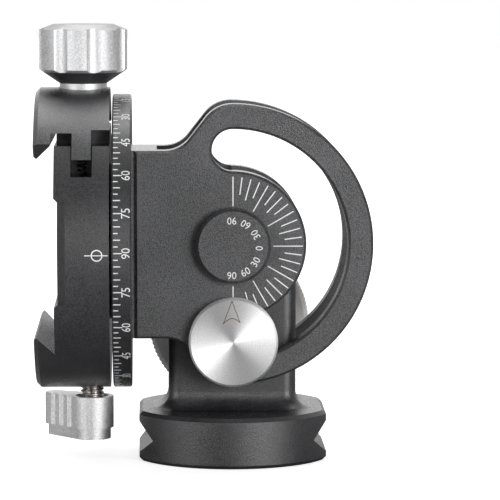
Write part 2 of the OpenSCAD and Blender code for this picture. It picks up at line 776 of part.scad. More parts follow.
// Least gap of a helix to itself, measured from points on two neighbouring curls
function helix_gap(r, wire, pitch, rings) = min([for (i = [0 : rings - 1], j = [0 : 2 * rings])
    norm(helix_middle(r, pitch, rings, i) - helix_middle(r, pitch, rings, i + (j + rings) / 2))]) - 2 * wire;

// Round wire wound to a helix, one closed skin
module coil(r, wire, pitch, length, rings, sides)
    let (n = floor(length / pitch * rings), last = n * sides)
    polyhedron(
        points = [for (i = [0 : n], k = [0 : sides - 1]) helix_point(r, wire, pitch, rings, i, k, sides)],
        faces = concat(
            [for (i = [0 : n - 1], k = [0 : sides - 1]) let (q = (k + 1) % sides)
                [i * sides + k, i * sides + q, (i + 1) * sides + k]],
            [for (i = [0 : n - 1], k = [0 : sides - 1]) let (q = (k + 1) % sides)
                [i * sides + q, (i + 1) * sides + q, (i + 1) * sides + k]],
            [for (k = [1 : sides - 2]) [0, k + 1, k]],
            [for (k = [1 : sides - 2]) [last, last + k, last + k + 1]]));

module jaw_springs()
    color("#b8b8b8")
    for (s = [-1, 1]) translate([-screw_x, s * spring_y, pivot_z + spring_low + spring_wire / 2])
        coil((spring_d - spring_wire) / 2, spring_wire / 2, spring_pitch,
            spring_top - spring_low - spring_wire, spring_rings, spring_sides);

echo(least_spring_gap =  // jaw_springs
        helix_gap((spring_d - spring_wire) / 2, spring_wire / 2, spring_pitch, spring_rings));

module moving_jaw()
    color("#3a3a3d")
    translate([0, 0, pivot_z + jaw_shift]) rotate([0, -90, 0])
    difference() {
        union() {
            difference() {
                clamp_blank();
                block([-ring_d, -ring_d, 0], [underside, ring_d, clamp_floor + jaw_wall_x]);
                block([-ring_d, -ring_d, 0], [underside + jaw_step, ring_d, screw_x - tongue_w / 2]);
                mirror([1, 0, 0]) rotate([90, 0, 0]) translate([0, 0, -ring_r - over])
                    linear_extrude(2 * (ring_r + over)) polygon([
                        [ring_d, clamp_out + over], [-jaw_lip_tip - lip_flat + over, clamp_out + over],
                        [-jaw_lip_tip - lip_flat, clamp_out], [-jaw_lip_tip, clamp_out - lip_flat],
                        [-jaw_lip_tip - tip_rise + jaw_vertical, clamp_floor + jaw_vertical],
                        [-underside, clamp_floor + jaw_wall_x], [-underside, clamp_floor - over],
                        [ring_d, clamp_floor - over]]);
            }
            intersection() {
                clamp_blank();
                guide_slots(tongue_w, underside - tongue_len, tongue_y);
            }
        }
        lip_corner_cuts();
        block([0, -tenon_half - slide, 0], [mortise_top, tenon_half + slide, clamp_floor + jaw_wall_x]);
        translate([0, 0, screw_x]) rotate([0, 90, 0]) {
            cylinder(r = screw_d / 2 + run, h = ring_d);
            translate([0, 0, ring_r - spot_depth]) cylinder(r = collar_d / 2 + free, h = ring_r);
        }
    }

module jaw_washer()
    color("#9a9a9a") translate([-screw_x, 0, pivot_z + jaw_shift + ring_r - spot_depth])
        ring(screw_d / 2 + run, collar_d / 2, jaw_washer_t - slot_play);

module clamp_knob()
    color("#dcdcdc")
    translate([-screw_x, 0, pivot_z + grip_z])
    difference() {
        rotate_extrude() polygon([
            [0, 0], [core_r, 0], [knob_d / 2, flute_depth * cone_h / (core_r - collar_d / 2)],
            [knob_d / 2, knob_grip_h], [knob_top_d / 2, knob_grip_h + knob_crown_h],
            [0, knob_grip_h + knob_crown_h]]);
        for (i = [0 : flutes - 1]) rotate([0, 0, flute_phase + i * 360 / flutes])
            translate([0, (flute_d - knob_d) / 2 - flute_d + flute_depth, -over])
                cylinder(d = flute_d, h = knob_grip_h + knob_crown_h + 2 * over);
        translate([0, 0, -over]) cylinder(r = screw_d / 2 + fit, h = knob_grip_h - knob_floor + over + fit);
    }

module knob_core()
    color("#1e1e20")
    translate([-screw_x, 0, pivot_z + cone_z])
    difference() {
        cylinder(d1 = collar_d, r2 = core_r, h = cone_h);
        translate([0, 0, -over]) cylinder(r = screw_d / 2 + fit, h = cone_h + 2 * over);
    }

module knob_collar()
    color("#dcdcdc") translate([-screw_x, 0, pivot_z + collar_z])
        ring(screw_d / 2 + fit, collar_d / 2, collar_h);

module clamp_screw()
    color("#9a9a9a")
    translate([-screw_x, 0, pivot_z + screw_low])
        disc(screw_d / 2, grip_z + knob_grip_h - knob_floor - screw_low, index_chamfer, 0);

// Teardrop outline of the lever, its tip towards -X; the flanks end just inside the arcs
module teardrop(inset = 0)
    let (r = lever_d / 2, q = lever_tip_d / 2, d = lever_reach - q, a = acos((r - q) / d), i = inset + fit)
    union() {
        circle(r = r - inset);
        translate([-d, 0]) circle(r = q - inset);
        polygon([
            [-(r - i) * cos(a), (r - i) * sin(a)], [-d - (q - i) * cos(a), (q - i) * sin(a)],
            [-d - (q - i) * cos(a), -(q - i) * sin(a)], [-(r - i) * cos(a), -(r - i) * sin(a)]]);
    }

module pan_lever()
    color("#d0d0d0")
    translate([-lever_x, 0, pivot_z - lever_top - lever_h - ledge_h]) rotate([0, 0, -lever_turn])
    let (r = lever_d / 2, q = lever_tip_d / 2, d = lever_reach - q, a = asin((r - q) / d))
    difference() {
        union() {
            translate([0, 0, ledge_h]) linear_extrude(lever_h) teardrop();
            linear_extrude(ledge_h + over) teardrop(ledge_inset);
        }
        for (s = [0, 1], i = [0 : lever_flutes - 1]) mirror([0, s, 0])
            let (x = lever_flute_start + i * lever_flute_step)
            translate([-x, r - (x * tan(a)) + lever_flute_r / 2, ledge_h])
                cylinder(r = lever_flute_r, h = lever_h + over);
        translate([0, 0, ledge_h + lever_h - lever_recess])
            cylinder(d = lever_recess_d, h = lever_recess + over);
        translate([0, 0, ledge_h]) cylinder(r = brake_d / 2 + fit, h = lever_h + over);
        translate([0, 0, -over]) cylinder(r = lever_screw_d / 2 + fit, h = ledge_h + 2 * over);
        translate([0, 0, -over]) cylinder(r = lever_screw_head_d / 2 + slide, h = lever_screw_head_h + over);
    }

module lever_stud()
    color("#8a7a6c")
    translate([-lever_x, 0, pivot_z - lever_top - lever_h])
    difference() {
        cylinder(r = brake_d / 2, h = lever_top + lever_h - shoe_low - free);
        translate([0, 0, -over]) cylinder(r = lever_screw_d / 2 + fit, h = lever_screw_len + over);
    }

module lever_screw()
    color("#9a9a9a")
    translate([-lever_x, 0, pivot_z - lever_top - lever_h - ledge_h])
    difference() {
        union() {
            cylinder(d = lever_screw_head_d, h = lever_screw_head_h);
            cylinder(d = lever_screw_d, h = lever_screw_len + ledge_h - over);
        }
        translate([0, 0, -over]) cylinder(r = lever_screw_d / 2, h = lever_screw_head_h / 2 + over, $fn = 6);
    }

foot_stem();
thread_insert();
pivot_bush_front();
pivot_bush_rear();
pivot_washer_front();
pivot_washer_rear();
lock_bolt();
index_disc();
index_key();
front_slot_washer();
rear_slot_washer();
rear_slot_sleeve();
lock_knob();
lock_knob_insert();
lock_knob_cap();
tilt_arm();
pivot_shaft();
pivot_cap_front();
pivot_cap_rear();
pan_ring();
ring_screws();
pan_dowels();
pan_spindle();
pan_retainer();
pan_bolt();
pan_washer();
clamp_body();
screw_insert();
jaw_springs();
brake_shoe();
moving_jaw();
jaw_washer();
clamp_knob();
knob_core();
knob_collar();
clamp_screw();
pan_lever();
lever_stud();
lever_screw();
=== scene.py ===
import json
import math

import bpy
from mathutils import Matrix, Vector


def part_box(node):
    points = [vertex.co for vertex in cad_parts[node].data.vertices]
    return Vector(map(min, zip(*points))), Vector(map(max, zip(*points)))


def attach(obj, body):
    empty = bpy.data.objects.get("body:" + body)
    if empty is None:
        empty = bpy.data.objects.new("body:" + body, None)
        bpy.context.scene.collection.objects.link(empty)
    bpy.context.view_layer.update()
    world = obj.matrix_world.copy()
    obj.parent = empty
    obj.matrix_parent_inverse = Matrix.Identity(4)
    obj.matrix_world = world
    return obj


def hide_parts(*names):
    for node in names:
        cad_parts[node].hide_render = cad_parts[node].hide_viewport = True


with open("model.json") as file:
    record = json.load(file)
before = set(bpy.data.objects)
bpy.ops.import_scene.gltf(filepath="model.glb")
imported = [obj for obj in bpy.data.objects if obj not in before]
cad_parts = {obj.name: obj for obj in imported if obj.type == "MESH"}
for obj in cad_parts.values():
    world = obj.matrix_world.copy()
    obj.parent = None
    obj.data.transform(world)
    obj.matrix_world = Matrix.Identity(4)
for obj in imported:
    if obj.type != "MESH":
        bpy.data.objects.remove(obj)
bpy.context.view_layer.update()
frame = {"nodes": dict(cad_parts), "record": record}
MM = 0.001

# Camera: distance and elevation from a fit to the ring's scale in the photo, azimuth and target from
# comparing renders with it. The image is 500 pixels wide, and angles are in degrees
IMAGE_PX = 500
FOCAL_PX = 3070
SENSOR_MM = 36
CAMERA_DISTANCE = 630 * MM
CAMERA_ELEVATION = 5.57
CAMERA_AZIMUTH = 1.85
CAMERA_TARGET = Vector((3.78, 0, 42.1)) * MM
CLIP_START = 0.01
CLIP_END = 20

# Places read from the CAD's own boxes
cap_low, cap_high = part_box("pivot_cap_front")
ring_low, ring_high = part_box("pan_ring")
disc_low, disc_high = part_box("index_disc")
stud_low, stud_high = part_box("lever_stud")
knob_low, knob_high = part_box("lock_knob")
grip_low, grip_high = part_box("clamp_knob")
PIVOT = (cap_low + cap_high) / 2
LOCK = (disc_low + disc_high) / 2
STUD = (stud_low + stud_high) / 2
GRIP = (grip_low + grip_high) / 2
RING_R = (ring_high.y - ring_low.y) / 2
# The front cap lies on the cheek's front face
CHEEK_Y = cap_high.y
CAP_Y = cap_low.y
DISC_Y = disc_low.y

# How far the printed marks stand above their surface, and how far they reach into it
PROUD = 0.012 * MM
SUNK = 0.05 * MM
MARK_RING_SIDES = 32
LINE_HALF = 0.11 * MM

# Tilt scale. Its lines and its numerals sit a little off the pivot in the photo
LINES_CENTRE = PIVOT + Vector((0, 0, -0.27)) * MM
NUMERALS_CENTRE = PIVOT + Vector((-0.33, 0, -0.39)) * MM
TILT_LINE_STEP = 7.5
TILT_LINES_EACH_WAY = 12
TILT_LONG_EVERY = 4
TILT_LINE_RADII = ((8.1, 14.1), (9.6, 14.0), (10.5, 14.0))
TILT_NUMERAL_STEP = 30
TILT_NUMERALS_EACH_WAY = 3
TILT_NUMERAL_R = 5.5 * MM
TILT_NUMERAL_H = 1.45 * MM
TILT_NUMERAL_STRETCH = 0.95

# Pan scale on the ring's rim
RING_OFFSET = math.radians(0.37)
PAN_LINE_STEP = 2.5
PAN_LINE_COUNT = 144
PAN_LONG_EVERY = 6
PAN_LINE_LENGTHS = (1.75, 1.4, 0.95)
PAN_LINE_X = ring_low.x + 0.28 * MM
PAN_NUMERAL_STEP = 15
PAN_NUMERAL_COUNT = 24
PAN_NUMERAL_X = ring_low.x + 2.75 * MM
PAN_NUMERAL_H = 1.7 * MM
PAN_NUMERAL_STRETCH = 0.92

# Index mark on the clamp's rim: a small ring with a line through it, measured towards -X
INDEX_ANGLE = math.radians(-0.42)
INDEX_RING_V = 27.15 * MM
INDEX_RING_R = 1.05 * MM
INDEX_RING_LINE = 0.24 * MM
INDEX_LINE_HALF = 0.1 * MM
INDEX_LINE_FROM = 24.95 * MM
INDEX_LINE_TO = 29.55 * MM

# Pointer on the index disc, in millimetres from the disc's centre
POINTER_APEX = (-0.3, 8.45)
POINTER_LEFT = (-2.05, 3.85)
POINTER_RIGHT = (1.3, 4.15)
POINTER_FOOT_RISE = 0.95
POINTER_FOOT_STEPS = (0, 0.2, 0.4, 0.6, 0.8, 1)
POINTER_LINE = 0.16 * MM

# Lock knob. Its profile's sizes are the CAD's, and only the knurl is added. The three shares place
# the point that rounds the grip's edge, and say how deep the knurl is there
KNURL_TEETH = 112
KNURL_DEPTH = 0.14 * MM
KNURL_SAMPLES = 4
KNOB_GRIP_LENGTH = 11 * MM
KNOB_CHAMFER = 1.0 * MM
EDGE_IN = 0.45
EDGE_ALONG = 0.4
EDGE_KNURL = 0.2
KNOB_BORE_R = 5.0 * MM
KNOB_HUB_R = 9.5 * MM
KNOB_HUB_FILLET = 0.3 * MM
KNOB_CAP_R = 11.02 * MM
KNOB_CAP_DEPTH = 1.6 * MM

# Thread of the lever's stud. THREAD_FLANK is how steep its flanks are, and THREAD_ROOT how much is
# cut off them to leave a flat root
THREAD_DEPTH = 0.42 * MM
THREAD_PITCH = 0.8 * MM
THREAD_SIDES = 48
THREAD_ROWS = 8
THREAD_FLANK = 2.2
THREAD_ROOT = 0.6

# Values between which nearly all of the noise lies
NOISE_LOW = 0.3
NOISE_HIGH = 0.7
# Layer Weight's Facing where a surface starts to turn glossier, and where that ends
GRAZING_FROM = 0.55
GRAZING_TO = 0.92
# A normal's Z where a face starts to get the painted shade on tops, and where it fully does
TOP_FROM = 0.3
TOP_TO = 0.7
SMUDGE_SCALE = 55
TURNED_RINGS = 9000
TURNED_GRAIN = 4500
PAINT_GRAIN = 5000

# Lamps: name, azimuth and elevation in degrees, distance, width and height in metres, power in watts
MIDDLE = Vector((0, 0, 0.045))
LAMPS = (
    ("key", 33, 5, 0.9, 0.5, 0.4, 6.6),
    ("front", 8, 6, 0.9, 0.4, 0.38, 0.3),
    ("left", -49, 7, 0.9, 0.55, 0.42, 3.7),
    ("top", 180, 68, 0.8, 0.5, 0.34, 3.2),
    ("front_top", 0, 62, 0.8, 0.4, 0.2, 0.3),
)
# The world's strength in front and behind, and the share of +Y in a direction where it changes
WORLD_FRONT = 0.07
WORLD_BEHIND = 0.92
WORLD_FADE_FROM = 0.1
WORLD_FADE_TO = 0.6

# Floor: its glow to the camera near the object and far from it, and the metres where it changes
FLOOR_HALF = 3.0
FLOOR_Z = -0.05 * MM
FLOOR_CELLS = 2
FLOOR_SMUDGE_SCALE = 8
FLOOR_GLOW_NEAR = 0.68
FLOOR_GLOW_FAR = 1.0
FLOOR_FADE_FROM = 0.1
FLOOR_FADE_TO = 0.6
# Grey of the floor for every ray but the camera's
FLOOR_BOUNCE = 0.24


def node(tree, kind, **values):
    """New shader node with these settings."""
    n = tree.nodes.new(kind)
    for key, value in values.items():
        setattr(n, key, value)
    return n


def noise(tree, coords, scale, detail=2.0, rough=0.5):
    """Noise in space, scale grains to the metre."""
    n = node(tree, "ShaderNodeTexNoise")
    n.inputs["Scale"].default_value = scale
    n.inputs["Detail"].default_value = detail
    n.inputs["Roughness"].default_value = rough
    tree.links.new(coords, n.inputs["Vector"])
    return n.outputs["Fac"]


def noise_1d(tree, value, scale):
    """Noise along one value."""
    n = node(tree, "ShaderNodeTexNoise", noise_dimensions="1D")
    n.inputs["Scale"].default_value = scale
    n.inputs["Detail"].default_value = 1.0
    tree.links.new(value, n.inputs["W"])
    return n.outputs["Fac"]


def spread(tree, value, low, high, to_low, to_high):
    """Maps low..high to to_low..to_high and stops at both ends."""
    n = node(tree, "ShaderNodeMapRange")
    n.inputs["From Min"].default_value = low
    n.inputs["From Max"].default_value = high
    n.inputs["To Min"].default_value = to_low
    n.inputs["To Max"].default_value = to_high
    tree.links.new(value, n.inputs["Value"])
    return n.outputs["Result"]


def maths(tree, kind, a, b):
    """One operation on two values, each a number or a node's output."""
    n = node(tree, "ShaderNodeMath", operation=kind)
    for i, value in enumerate((a, b)):
        if isinstance(value, (int, float)):
            n.inputs[i].default_value = value
        else:
            tree.links.new(value, n.inputs[i])
    return n.outputs["Value"]


def blend(tree, a, share_a, b, share_b):
    """Weighted sum of two values."""
    return maths(tree, "ADD", maths(tree, "MULTIPLY", a, share_a), maths(tree, "MULTIPLY", b, share_b))


def ramp(tree, value, stops):
    """Colour ramp with stops (place, colour)."""
    n = node(tree, "ShaderNodeValToRGB")
    elements = n.color_ramp.elements
    while len(elements) < len(stops):
        elements.new(0.5)
    for element, (place, colour) in zip(elements, stops):
        element.position = place
        element.color = (*colour, 1)
    tree.links.new(value, n.inputs["Fac"])
    return n.outputs["Color"]


def grey(value, tint=(1.0, 1.0, 1.0)):
    return tuple(value * t for t in tint)


def bumped(tree, shader, height, strength, distance):
    """Gives a shader a bump from a height."""
    n = node(tree, "ShaderNodeBump")
    n.inputs["Strength"].default_value = strength
    n.inputs["Distance"].default_value = distance
    tree.links.new(height, n.inputs["Height"])
    tree.links.new(n.outputs["Normal"], shader.inputs["Normal"])


def grazing_gloss(tree, rough, keep):
    """Lowers a roughness where the surface is seen at a shallow angle, as a fine-grained surface does."""
    facing = node(tree, "ShaderNodeLayerWeight").outputs["Facing"]
    return maths(tree, "MULTIPLY", rough, spread(tree, facing, GRAZING_FROM, GRAZING_TO, 1.0, keep))


def darker_top(tree, colour, keep):
    """Painted shade: darkens a colour on the faces towards the object's +Z."""
    split = node(tree, "ShaderNodeSeparateXYZ")
    tree.links.new(node(tree, "ShaderNodeTexCoord").outputs["Normal"], split.inputs[0])
    shade = node(tree, "ShaderNodeVectorMath", operation="SCALE")
    tree.links.new(colour, shade.inputs[0])
    tree.links.new(spread(tree, split.outputs["Z"], TOP_FROM, TOP_TO, 1.0, keep), shade.inputs["Scale"])
    return shade.outputs["Vector"]


def camera_only(tree, others, seen):
    """Shader that is seen for the camera's own rays and others for all the rest."""
    mix = node(tree, "ShaderNodeMixShader")
    tree.links.new(node(tree, "ShaderNodeLightPath").outputs["Is Camera Ray"], mix.inputs["Fac"])
    tree.links.new(others, mix.inputs[1])
    tree.links.new(seen, mix.inputs[2])
    return mix.outputs[0]


def new_material(name):
    """New material with its tree, its Principled shader and the object's coordinates."""
    material = bpy.data.materials.new(name)
    material.use_nodes = True
    tree = material.node_tree
    shader = tree.nodes["Principled BSDF"]
    coords = node(tree, "ShaderNodeTexCoord").outputs["Object"]
    return material, tree, shader, coords


def blasted(name, dark, light, metallic, rough, grain=4200, bump=0.35, tint=(1, 1, 1), specular=0.5,
            keep=1.0, top=1.0):
    """Bead-blasted metal: a fine grain in colour, roughness and height, and faint broad smudges.

    keep is the share of the roughness that is left at a shallow angle, and top is the share of the
    colour that the faces towards the object's +Z keep, as painted shade on the tops."""
    m, t, s, coords = new_material(name)
    fine = noise(t, coords, grain, 3.0, 0.6)
    broad = noise(t, coords, SMUDGE_SCALE)
    tone = blend(t, fine, 0.8, broad, 0.2)
    colour = ramp(t, tone, [(0.42, grey(dark, tint)), (0.58, grey(light, tint))])
    # Painted shade on the faces towards the object's +Z
    if top < 1:
        colour = darker_top(t, colour, top)
    gloss = spread(t, tone, NOISE_LOW, NOISE_HIGH, rough - 0.14, rough + 0.14)
    if keep < 1:
        gloss = grazing_gloss(t, gloss, keep)
    s.inputs["Metallic"].default_value = metallic
    s.inputs["Specular IOR Level"].default_value = specular
    t.links.new(colour, s.inputs["Base Color"])
    t.links.new(gloss, s.inputs["Roughness"])
    bumped(t, s, fine, bump, 0.06 * MM)
    return m


def turned(name, dark, light, rough, centre, axis, aniso=0.0, aniso_turn=0.0):
    """Turned metal: fine rings round an axis, with a little grain. aniso stretches its highlights."""
    m, t, s, coords = new_material(name)
    place = node(t, "ShaderNodeMapping")
    across = [0.0 if k == axis else 1.0 for k in "XYZ"]
    place.inputs["Scale"].default_value = across
    place.inputs["Location"].default_value = [-c * k for c, k in zip(centre, across)]
    t.links.new(coords, place.inputs["Vector"])
    length = node(t, "ShaderNodeVectorMath", operation="LENGTH")
    t.links.new(place.outputs["Vector"], length.inputs[0])
    rings = noise_1d(t, length.outputs["Value"], TURNED_RINGS)
    fine = noise(t, coords, TURNED_GRAIN)
    tone = blend(t, rings, 0.35, fine, 0.65)
    t.links.new(ramp(t, tone, [(0.35, grey(dark)), (0.65, grey(light))]), s.inputs["Base Color"])
    t.links.new(spread(t, tone, NOISE_LOW, NOISE_HIGH, rough - 0.05, rough + 0.05), s.inputs["Roughness"])
    s.inputs["Metallic"].default_value = 1.0
    if aniso:
        s.inputs["Anisotropic"].default_value = aniso
        s.inputs["Anisotropic Rotation"].default_value = aniso_turn
        tangent = node(t, "ShaderNodeTangent", direction_type="RADIAL", axis=axis)
        t.links.new(tangent.outputs["Tangent"], s.inputs["Tangent"])
    bumped(t, s, tone, 0.3, 0.04 * MM)
    return m


def printed(name, dark, light):
    """Filled engraving: matt paint with a worn, slightly uneven tone."""
    m, t, s, coords = new_material(name)
    fine = noise(t, coords, PAINT_GRAIN)
    t.links.new(ramp(t, fine, [(0.35, dark), (0.6, light)]), s.inputs["Base Color"])
    t.links.new(spread(t, fine, NOISE_LOW, NOISE_HIGH, 0.5, 0.7), s.inputs["Roughness"])
    bumped(t, s, fine, 0.1, 0.02 * MM)
    return m


ANODISED = {"metallic": 0.0, "bump": 1.0, "specular": 1.0, "keep": 0.12}
SILVER = {"dark": 0.66, "light": 0.94, "metallic": 1.0, "rough": 0.57, "tint": (1.0, 1.0, 1.01),
          "bump": 0.7, "keep": 0.5}
MATERIALS = {
    "black_anodised": blasted("black_anodised", 0.002, 0.046, rough=0.4, tint=(0.98, 0.98, 1.08), **ANODISED),
    "grey_anodised": blasted("grey_anodised", 0.002, 0.09, rough=0.42, tint=(0.98, 0.98, 1.05), **ANODISED),
    "silver_turned": turned("silver_turned", 0.66, 0.9, 0.58, GRIP, "Z"),
    "silver_blasted": blasted("silver_blasted", **SILVER),
    "silver_knurled": blasted("silver_knurled", 0.88, 0.99, 0.4, 0.5, tint=(1.0, 0.98, 0.965), bump=0.3),
    "steel": turned("steel", 0.42, 0.6, 0.34, PIVOT, "Y"),
    "black_steel": blasted("black_steel", 0.02, 0.035, 0.5, 0.35),
    "browned_steel": blasted("browned_steel", 0.26, 0.62, 1.0, 0.33, tint=(1.0, 0.93, 0.89), grain=1500),
    "spring_steel": blasted("spring_steel", 0.5, 0.62, 1.0, 0.28, bump=0.1),
    "bronze": blasted("bronze", 0.3, 0.42, 1.0, 0.4, tint=(1.25, 0.95, 0.5)),
    "slide_plastic": blasted("slide_plastic", 0.66, 0.78, 0.0, 0.5, bump=0.1),
    "black_plastic": blasted("black_plastic", 0.015, 0.03, 0.0, 0.5, bump=0.2),
}
WHITE_MARK = printed("white_mark", grey(0.78), grey(0.95))
BROWN_MARK = printed("brown_mark", (0.13, 0.07, 0.055), (0.26, 0.15, 0.12))
SPUN_FACE = turned("spun_face", 0.74, 0.98, 0.47, LOCK, "Y", aniso=0.74, aniso_turn=0.25)
# Blasted silver for the clamp knob, with painted shade darkening its crown and other top faces
CROWN_SHADE_PAINTED = blasted("silver_top_shade_painted", top=0.48, **SILVER)

# Nodes that look different from their material slot
SPECIAL = {
    # The clamp knob gets painted shade on its crown
    "clamp_knob": CROWN_SHADE_PAINTED,
    "index_disc": SPUN_FACE,
    "pivot_cap_front": MATERIALS["grey_anodised"],
    "pivot_cap_rear": MATERIALS["grey_anodised"],
}


def dress_solids():
    """Gives each CAD solid its material."""
    slots = {r["node"]: r["material_slot"] for r in frame["record"]["subparts"]}
    for name, obj in frame["nodes"].items():
        obj.data.materials.clear()
        obj.data.materials.append(SPECIAL.get(name) or MATERIALS[slots[name]])


def piece(name, verts, faces, body, material):
    """New visible piece that rides on a body."""
    mesh = bpy.data.meshes.new(name)
    mesh.from_pydata([tuple(v) for v in verts], [], faces)
    mesh.materials.append(material)
    mesh.validate()
    obj = bpy.data.objects.new(name, mesh)
    bpy.context.scene.collection.objects.link(obj)
    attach(obj, body)
    return obj


class Marks:
    """Printed marks, as thin raised plates that a function places on the surface."""

    def __init__(self):
        self.verts = []
        self.faces = []

    def plate(self, outline, place):
        """A convex outline of (u, v) points; place(u, v, height) gives the point in space."""
        n = len(outline)
        k = len(self.verts)
        for height in (PROUD, -SUNK):
            self.verts += [place(u, v, height) for u, v in outline]
        self.faces.append(tuple(range(k, k + n)))
        self.faces.append(tuple(range(k + 2 * n - 1, k + n - 1, -1)))
        for i in range(n):
            j = (i + 1) % n
            self.faces.append((k + i, k + n + i, k + n + j, k + j))

    def bar(self, u0, u1, v0, v1, place):
        self.plate([(u0, v0), (u1, v0), (u1, v1), (u0, v1)], place)

    def text(self, words, height, stretch, place):
        """Flat numerals centred on (0, 0), height high, from the font that comes with Blender."""
        curve = bpy.data.curves.new("numerals", "FONT")
        curve.body = words
        curve.align_x = "CENTER"
        curve.size = 1.0
        curve.resolution_u = 3
        curve.fill_mode = "FRONT"
        obj = bpy.data.objects.new("numerals", curve)
        bpy.context.scene.collection.objects.link(obj)
        mesh = bpy.data.meshes.new_from_object(obj.evaluated_get(bpy.context.evaluated_depsgraph_get()))
        xs = [v.co.x for v in mesh.vertices]
        ys = [v.co.y for v in mesh.vertices]
        k = height / (max(ys) - min(ys))
        mid_x = (max(xs) + min(xs)) / 2
        mid_y = (max(ys) + min(ys)) / 2
        base = len(self.verts)
        self.verts += [place((x - mid_x) * k * stretch, (y - mid_y) * k, PROUD) for x, y in zip(xs, ys)]
        self.faces += [tuple(base + i for i in p.vertices) for p in mesh.polygons]
        bpy.data.objects.remove(obj)
        bpy.data.curves.remove(curve)
        bpy.data.meshes.remove(mesh)

    def ring(self, u, v, radius, width, place):
        inner = radius - width / 2
        outer = radius + width / 2
        for i in range(MARK_RING_SIDES):
            a = math.tau * i / MARK_RING_SIDES
            b = math.tau * (i + 1) / MARK_RING_SIDES
            corners = ((inner, a), (outer, a), (outer, b), (inner, b))
            self.plate([(u + r * math.cos(c), v + r * math.sin(c)) for r, c in corners], place)

    def line(self, a, b, width, place):
        d = (Vector(b) - Vector(a)).normalized() * width / 2
        side = Vector((-d.y, d.x))
        a = Vector(a) - d
        b = Vector(b) + d
        self.plate([tuple(a - side), tuple(b - side), tuple(b + side), tuple(a + side)], place)


def on_face(centre, y):
    """Places (u, v) on a face that looks towards -Y, u to the right and v up."""
    def place(u, v, h):
        return (centre.x + u, y - h, centre.z + v)
    return place


def turned_place(place, radius, angle, spin):
    """Moves (u, v) out to a radius at an angle, turned by spin."""
    c = math.cos(spin)
    s = math.sin(spin)
    x = radius * math.cos(angle)
    y = radius * math.sin(angle)

    def turned_out(u, v, h):
        return place(x + u * c - v * s, y + u * s + v * c, h)
    return turned_out


def on_ring(angle, x):
    """Places (u, v) on the ring's rim at an angle above the front: u runs up the rim, v towards -X."""
    def place(u, v, h):
        a = angle + u / RING_R
        r = RING_R + h
        return (x - v, -r * math.cos(a), PIVOT.z + r * math.sin(a))
    return place


def graded(k, long_every, sizes):
    """The long, middle or short size for line k of a scale; every second line is at least middle."""
    long, middle, short = sizes
    if k % long_every == 0:
        return long
    return middle if k % 2 == 0 else short


def tilt_scale():
    """Scale on the front cheek, with its numerals on the cap."""
    lines = Marks()
    numerals = Marks()
    for k in range(-TILT_LINES_EACH_WAY, TILT_LINES_EACH_WAY + 1):
        inner, outer = graded(k, TILT_LONG_EVERY, TILT_LINE_RADII)
        place = turned_place(on_face(LINES_CENTRE, CHEEK_Y), 0, 0, math.radians(TILT_LINE_STEP * k))
        lines.bar(inner * MM, outer * MM, -LINE_HALF, LINE_HALF, place)
    for k in range(-TILT_NUMERALS_EACH_WAY, TILT_NUMERALS_EACH_WAY + 1):
        degrees = TILT_NUMERAL_STEP * k
        a = math.radians(degrees)
        place = turned_place(on_face(NUMERALS_CENTRE, CAP_Y), TILT_NUMERAL_R, a, a + math.pi / 2)
        numerals.text(str(abs(degrees)), TILT_NUMERAL_H, TILT_NUMERAL_STRETCH, place)
    piece("tilt_scale_lines", lines.verts, lines.faces, "tilt_arm", WHITE_MARK)
    piece("tilt_scale_numerals", numerals.verts, numerals.faces, "tilt_arm", WHITE_MARK)


def pan_scale():
    """Scale all round the ring's rim: 90 in front and behind, 0 at the top and the bottom."""
    lines = Marks()
    numerals = Marks()
    for k in range(PAN_LINE_COUNT):
        place = on_ring(math.radians(PAN_LINE_STEP * k) + RING_OFFSET, PAN_LINE_X)
        length = graded(k, PAN_LONG_EVERY, PAN_LINE_LENGTHS)
        lines.bar(-LINE_HALF, LINE_HALF, -length * MM, 0, place)
    for k in range(PAN_NUMERAL_COUNT):
        angle = PAN_NUMERAL_STEP * k
        off = angle if angle <= 180 else 360 - angle
        place = on_ring(math.radians(angle) + RING_OFFSET, PAN_NUMERAL_X)
        numerals.text(str(abs(90 - off)), PAN_NUMERAL_H, PAN_NUMERAL_STRETCH, place)
    piece("pan_scale_lines", lines.verts, lines.faces, "tilt_arm", WHITE_MARK)
    piece("pan_scale_numerals", numerals.verts, numerals.faces, "tilt_arm", WHITE_MARK)


def index_mark():
    """Ring and line on the clamp's rim, across from the pan scale."""
    marks = Marks()
    place = on_ring(INDEX_ANGLE, 0)
    marks.ring(0, INDEX_RING_V, INDEX_RING_R, INDEX_RING_LINE, place)
    marks.bar(-INDEX_LINE_HALF, INDEX_LINE_HALF, INDEX_LINE_FROM, INDEX_LINE_TO, place)
    piece("pan_index_mark", marks.verts, marks.faces, "clamp", WHITE_MARK)


def pointer():
    """Fine outline arrow on the index disc, its foot an arc."""
    marks = Marks()
    place = on_face(LOCK, DISC_Y)
    left = POINTER_LEFT
    across = POINTER_RIGHT[0] - left[0]
    up = POINTER_RIGHT[1] - left[1]
    foot = [(left[0] + across * t, left[1] + up * t + POINTER_FOOT_RISE * math.sin(math.pi * t))
            for t in POINTER_FOOT_STEPS]
    path = [left, POINTER_APEX, POINTER_RIGHT] + foot[::-1]
    for a, b in zip(path, path[1:]):
        marks.line([c * MM for c in a], [c * MM for c in b], POINTER_LINE, place)
    piece("index_pointer", marks.verts, marks.faces, "foot", BROWN_MARK)


def skin_faces(rows, columns, joined):
    """Faces between rows of vertices, each row closed; joined closes the last row onto the first."""
    faces = []
    for i in range(rows if joined else rows - 1):
        j = (i + 1) % rows
        for k in range(columns):
            n = (k + 1) % columns
            faces.append((i * columns + k, i * columns + n, j * columns + n, j * columns + k))
    return faces


def revolve(profile, place, samples, wave):
    """Closed revolved skin. profile: (radius, height, share of the wave); wave(k) lowers the radius."""
    verts = []
    for k in range(samples):
        a = math.tau * k / samples
        for r, h, share in profile:
            q = r - wave(k) * share
            verts.append(place(q * math.cos(a), q * math.sin(a), h))
    return verts, skin_faces(samples, len(profile), True)


def on_lock_axis(u, v, h):
    return (LOCK.x + u, h, LOCK.z + v)


